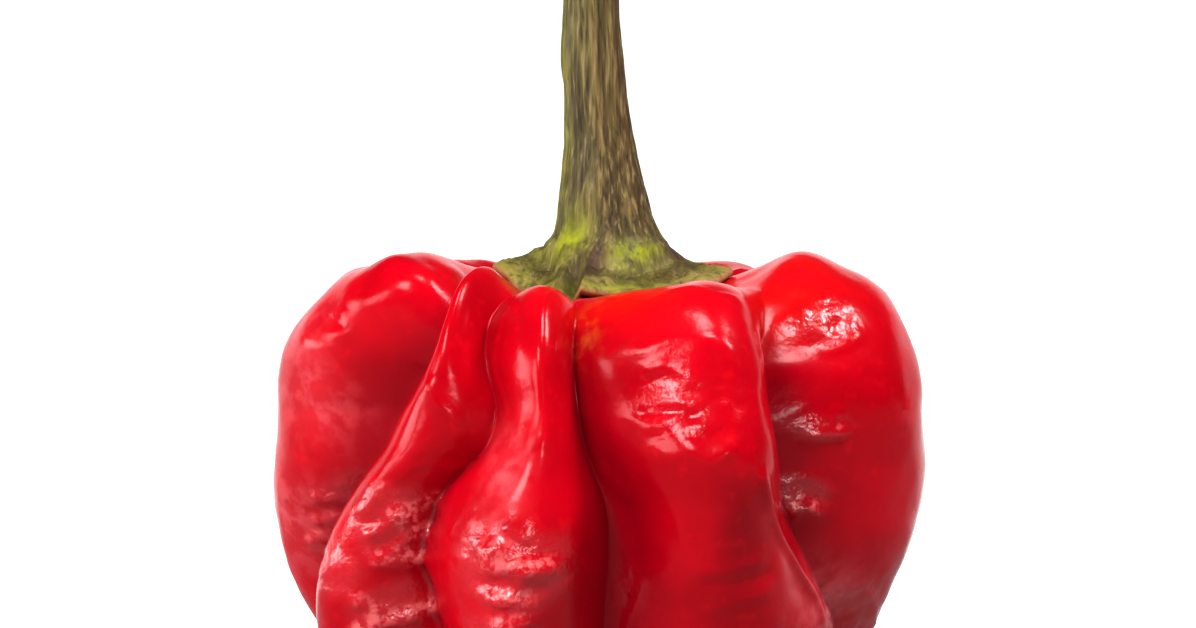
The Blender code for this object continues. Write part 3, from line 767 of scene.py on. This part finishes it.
def stem_rows(azimuth):
    """Points of the stem, one row for each step up, and its rounded cut end."""
    levels = np.linspace(STEM_RINGS[0][0], STEM_RINGS[-1][0], STEM_ROWS)
    values = smooth_through(STEM_RINGS, levels)
    made = []
    for level, (shift, half_width) in zip(levels, values):
        turned = azimuth + STEM_TURN * (level - levels[0]) / (levels[-1] - levels[0])
        ridged = np.ones(len(azimuth))
        for where, wide, share in STEM_RIDGES:
            ridged += share * np.exp(-((turn_from(turned, where) / wide) ** 2))
        # The half width is the one at the last ridge, which the photo shows on the outline
        radius = half_width * ridged / (1 + STEM_RIDGES[-1][2])
        for count, depth in STEM_GROOVES:
            sway = GROOVE_SWAY * np.sin(level * GROOVE_WAVES + count)
            radius += depth * np.sin(count * np.radians(turned) + sway)
        angle = np.radians(azimuth)
        x, y = shift + radius * np.sin(angle), -radius * np.cos(angle)
        ring = np.stack([x, y, np.full(len(angle), level)], axis=-1)
        for size, tall in STEM_KNOBS:
            ring[:, :2] *= 1 + (tall / half_width * noise_at(ring * KNOB_STRETCH, size))[:, None]
        made.append(ring)
    rim = made[-1]
    middle = np.array([STEM_RINGS[-1][1], 0.0, 0.0])
    for share, up in STEM_TIP:
        ring = middle + (rim - middle) * share
        ring[:, 2] = rim[0, 2] + (STEM_TOP - rim[0, 2]) * up
        made.append(ring)
    return made


def make_stem():
    """The calyx and stem, grown as one piece: a skin from the seat out to the rim and back up to the tip."""
    lobe, across = columns_of(STEM_SHARE * FINER)
    full = np.ones(len(lobe))
    azimuth = pod_skin(lobe, across, full * CALYX_MIDDLE)[2]
    below = calyx_rows(lobe, across, azimuth, CALYX_BELOW, False)
    above = calyx_rows(lobe, across, azimuth, CALYX_ABOVE, True)
    stem = stem_rows(azimuth)
    seat = np.tile(below[0].mean(axis=0), (len(lobe), 1))
    tip = np.tile((STEM_RINGS[-1][1], 0.0, STEM_TOP - TIP_DIP), (len(lobe), 1))
    rows = np.array([seat] + below + above + stem + [tip])
    low, high = len(below) + 1, len(below) + len(above) + 1

    def place(column, row):
        points = rows[row, column]
        kept = {"calyx": np.clip((high - row) / (high - low), 0.0, 1.0)}
        kept["rim"] = RIM_PALENESS * np.clip(1 - np.abs(row - low) / RIM_ROWS, 0.0, 1.0)
        for title, marks in STEM_MARKS.items():
            kept[title] = marked(azimuth[column], points[:, 2], marks)
        return points, kept

    return closed_grid("stem_and_calyx_fine", len(lobe), len(rows) - 1, place)


def new_material(name):
    """A new material, its nodes, its links and its shader."""
    material = bpy.data.materials.new(name)
    material.use_nodes = True
    nodes, links = material.node_tree.nodes, material.node_tree.links
    return material, nodes, links, nodes["Principled BSDF"]


class Wiring:
    """Short ways to add the nodes of one material; a value is a socket, a number or a colour."""

    def __init__(self, nodes, links):
        self.nodes, self.links = nodes, links
        self.place = nodes.new("ShaderNodeTexCoord").outputs["Object"]

    def set(self, socket, value):
        """Lead a socket into another one, or give that one a value."""
        if isinstance(value, bpy.types.NodeSocket):
            self.links.new(value, socket)
        else:
            socket.default_value = value

    def kept(self, title):
        """A value that the mesh keeps on its points."""
        node = self.nodes.new("ShaderNodeAttribute")
        node.attribute_name = title
        return node.outputs["Fac"]

    def stretched(self, scale):
        """The place on the object, scaled."""
        node = self.nodes.new("ShaderNodeMapping")
        self.links.new(self.place, node.inputs["Vector"])
        node.inputs["Scale"].default_value = scale
        return node.outputs["Vector"]

    def noise(self, size, detail=2.0, vector=None):
        """Noise round 0.5 with swellings of this size in metres."""
        node = self.nodes.new("ShaderNodeTexNoise")
        self.links.new(vector or self.place, node.inputs["Vector"])
        node.inputs["Scale"].default_value = 1 / size
        node.inputs["Detail"].default_value = detail
        return node.outputs["Fac"]

    def spread(self, value, low, high, to_low=0.0, to_high=1.0):
        """A smooth step from one value at the low place to another at the high one."""
        node = self.nodes.new("ShaderNodeMapRange")
        node.interpolation_type = "SMOOTHSTEP"
        self.set(node.inputs["Value"], value)
        node.inputs["From Min"].default_value, node.inputs["From Max"].default_value = low, high
        node.inputs["To Min"].default_value, node.inputs["To Max"].default_value = to_low, to_high
        return node.outputs["Result"]

    def math(self, operation, a, b):
        """The sum or product of two values."""
        node = self.nodes.new("ShaderNodeMath")
        node.operation = operation
        self.set(node.inputs[0], a)
        self.set(node.inputs[1], b)
        return node.outputs["Value"]

    def mix(self, share, a, b):
        """One colour going over into another."""
        node = self.nodes.new("ShaderNodeMix")
        node.data_type = "RGBA"
        self.set(node.inputs["Factor"], share)
        for socket, value in ((node.inputs[6], a), (node.inputs[7], b)):
            self.set(socket, value if isinstance(value, bpy.types.NodeSocket) else (*value, 1.0))
        return node.outputs[2]

    def bump(self, height, depth, normal=None):
        """A bump whose height of 1 stands this many metres out."""
        node = self.nodes.new("ShaderNodeBump")
        node.inputs["Distance"].default_value = depth
        self.links.new(height, node.inputs["Height"])
        if normal:
            self.links.new(normal, node.inputs["Normal"])
        return node.outputs["Normal"]


def skin_material():
    """The glossy red skin, duller and creased where it is crumpled, with painted shade in its folds, painted
    light on its lobes' tops, a painted sheen and painted highlights.
    """
    material, nodes, links, shader = new_material("pepper_skin")
    w = Wiring(nodes, links)
    folded, crumple = w.kept("folded"), w.kept("crumple")
    red = w.mix(w.spread(w.noise(0.006, 3.0), 0.35, 0.65), DEEP_RED, RED)
    red = w.mix(w.spread(w.noise(0.0009, 2.0), 0.55, 0.75, 0.0, 0.5), red, BRIGHT_RED)
    # Painted shade: the red goes over into a dark red with the depth of the folds, where shade falls
    red = w.mix(w.spread(folded, 0.25, 0.95, 0.0, 0.75), red, FOLD_SHADE_RED)
    # Flecks, painted light on the tops, a painted sheen and painted highlights, each in its patches
    for title, grain, spread, colour in SKIN_PATCHES:
        share = w.math("MULTIPLY", w.kept(title), w.spread(w.noise(*grain), *spread))
        red = w.mix(share, red, colour)
    links.new(red, shader.inputs["Base Color"])
    patchy = w.spread(w.noise(0.002, 3.0), 0.3, 0.7, 0.16, 0.24)
    crumpled = w.spread(crumple, 0.2, 1.0, 0.0, 0.04)
    links.new(w.math("ADD", patchy, crumpled), shader.inputs["Roughness"])
    links.new(w.spread(crumple, 0.3, 1.0, 0.20, 0.75), shader.inputs["Specular IOR Level"])
    shader.inputs["Subsurface Weight"].default_value = SINKING_SHARE
    shader.inputs["Subsurface Radius"].default_value = SINKING_REACH
    shader.inputs["Subsurface Scale"].default_value = SINKING_SCALE
    pores = w.bump(w.noise(0.00035, 2.0), PORE_DEPTH)
    creases = w.math("MULTIPLY", w.spread(crumple, 0.15, 1.0, 0.10, 1.0), w.noise(0.0007, 3.0))
    links.new(w.bump(creases, CREASE_DEPTH, pores), shader.inputs["Normal"])
    return material


def stem_material():
    """The fibrous brown and tan stem and the green and olive calyx."""
    material, nodes, links, shader = new_material("stem_skin")
    w = Wiring(nodes, links)
    calyx, green, brown = w.kept("calyx"), w.kept("green"), w.kept("brown")
    streaks = w.noise(0.0009, 4.0, w.stretched(STREAK_STRETCH))
    fibres = w.noise(0.00022, 3.0, w.stretched(FIBRE_STRETCH))
    blotches = w.noise(0.0011, 4.0)
    grain = w.mix(w.spread(calyx, 0.1, 0.5), w.stretched(STREAK_STRETCH), w.place)
    mottle = w.noise(0.0007, 4.0, grain)
    bark = w.mix(w.spread(streaks, 0.35, 0.65), DARK_BARK, BARK)
    bark = w.mix(w.math("MULTIPLY", brown, 0.8), bark, BROWN)
    bark = w.mix(w.kept("tan"), bark, TAN)
    bark = w.mix(w.spread(fibres, 0.50, 0.32, 0.0, 0.75), bark, DARK_FIBRE)
    bark = w.mix(w.spread(fibres, 0.52, 0.70, 0.0, 0.60), bark, PALE_FIBRE)
    bark = w.mix(w.math("MULTIPLY", calyx, w.spread(mottle, 0.35, 0.65, 0.35, 1.0)), bark, CALYX_OLIVE)
    fresh = w.mix(w.spread(blotches, 0.35, 0.65), DARK_GREEN, GREEN)
    body = w.mix(w.math("MULTIPLY", green, w.spread(blotches, 0.30, 0.55, 0.65, 1.0)), bark, fresh)
    body = w.mix(w.spread(mottle, 0.44, 0.32, 0.0, 0.55), body, SPOT)
    body = w.mix(w.kept("scar"), body, SCAR)
    body = w.mix(w.kept("rim"), body, PALE_RIM)
    links.new(body, shader.inputs["Base Color"])
    links.new(w.spread(mottle, 0.3, 0.7, 0.50, 0.72), shader.inputs["Roughness"])
    shader.inputs["Specular IOR Level"].default_value = 0.30
    relief = w.bump(fibres, FIBRE_DEPTH, w.bump(streaks, STREAK_DEPTH))
    links.new(w.bump(mottle, MOTTLE_DEPTH, relief), shader.inputs["Normal"])
    return material


def add_light(name, azimuth, elevation, size, power):
    """A light box that faces the pepper."""
    light = bpy.data.lights.new(name, "AREA")
    light.shape = "RECTANGLE"
    light.size, light.size_y = size
    light.energy = power
    obj = bpy.data.objects.new(name, light)
    a, e = math.radians(azimuth), math.radians(elevation)
    away = Vector((math.sin(a) * math.cos(e), -math.cos(a) * math.cos(e), math.sin(e)))
    obj.location = Vector(LIGHT_TARGET) + away * LIGHT_DISTANCE
    obj.rotation_mode = "QUATERNION"
    obj.rotation_quaternion = away.to_track_quat("Z", "Y")
    bpy.context.scene.collection.objects.link(obj)


def add_camera():
    """The camera, placed as for the photo."""
    data = bpy.data.cameras.new("camera")
    data.lens, data.sensor_width = LENS, SENSOR
    data.clip_start, data.clip_end = CLIP
    camera = bpy.data.objects.new("camera", data)
    away, distance = towards_camera()
    camera.location = Vector(LOOK_AT) + away * distance
    camera.rotation_mode = "QUATERNION"
    camera.rotation_quaternion = away.to_track_quat("Z", "Y")
    bpy.context.scene.collection.objects.link(camera)
    bpy.context.scene.camera = camera


def add_stage():
    """A pale floor that sweeps up behind the pepper and turns white there."""
    floor = bpy.data.meshes.new("floor")
    shape = bmesh.new()
    bmesh.ops.create_grid(shape, x_segments=1, y_segments=FLOOR_STEPS, size=1.0)
    for v in shape.verts:
        along = (v.co.y + 1) / 2
        x = v.co.x * FLOOR_HALF_WIDTH
        if along < 0.5:
            v.co = Vector((x, FLOOR_FRONT + (FLOOR_BEND - FLOOR_FRONT) * 2 * along, 0.0))
        else:
            angle = (2 * along - 1) * math.pi / 2
            y = FLOOR_BEND + BEND_RADIUS * math.sin(angle)
            v.co = Vector((x, y, BEND_RADIUS * (1 - math.cos(angle))))
    bmesh.ops.recalc_face_normals(shape, faces=shape.faces)
    shape.to_mesh(floor)
    shape.free()
    floor.shade_smooth()
    obj = bpy.data.objects.new("floor", floor)
    bpy.context.scene.collection.objects.link(obj)
    material, nodes, links, shader = new_material("pale_floor")
    shader.inputs["Base Color"].default_value = (FLOOR_GREY, FLOOR_GREY, FLOOR_GREY, 1)
    shader.inputs["Roughness"].default_value = FLOOR_ROUGHNESS
    shader.inputs["Emission Color"].default_value = (1, 1, 1, 1)
    place = nodes.new("ShaderNodeTexCoord")
    split = nodes.new("ShaderNodeSeparateXYZ")
    behind = nodes.new("ShaderNodeMapRange")
    behind.inputs["From Min"].default_value = WHITE_FROM
    behind.inputs["From Max"].default_value = WHITE_TO
    behind.inputs["To Max"].default_value = 1.0
    links.new(place.outputs["Object"], split.inputs["Vector"])
    links.new(split.outputs["Y"], behind.inputs["Value"])
    links.new(behind.outputs["Result"], shader.inputs["Emission Strength"])
    floor.materials.append(material)


def add_world():
    """A faint light from all sides."""
    world = bpy.data.worlds.new("studio")
    bpy.context.scene.world = world
    world.use_nodes = True
    background = world.node_tree.nodes["Background"]
    background.inputs["Color"].default_value = (1, 1, 1, 1)
    background.inputs["Strength"].default_value = ROOM_LIGHT


pod = make_pod()
pod.data.materials.append(skin_material())
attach(pod, "root")
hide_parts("pod")

stem = make_stem()
stem.data.materials.append(stem_material())
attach(stem, "root")
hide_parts("stem_with_calyx")

add_stage()
add_world()
for light in LIGHTS:
    add_light(*light)
add_camera()
bpy.context.scene.view_settings.view_transform = "Standard"
bpy.context.scene.view_settings.gamma = GAMMA
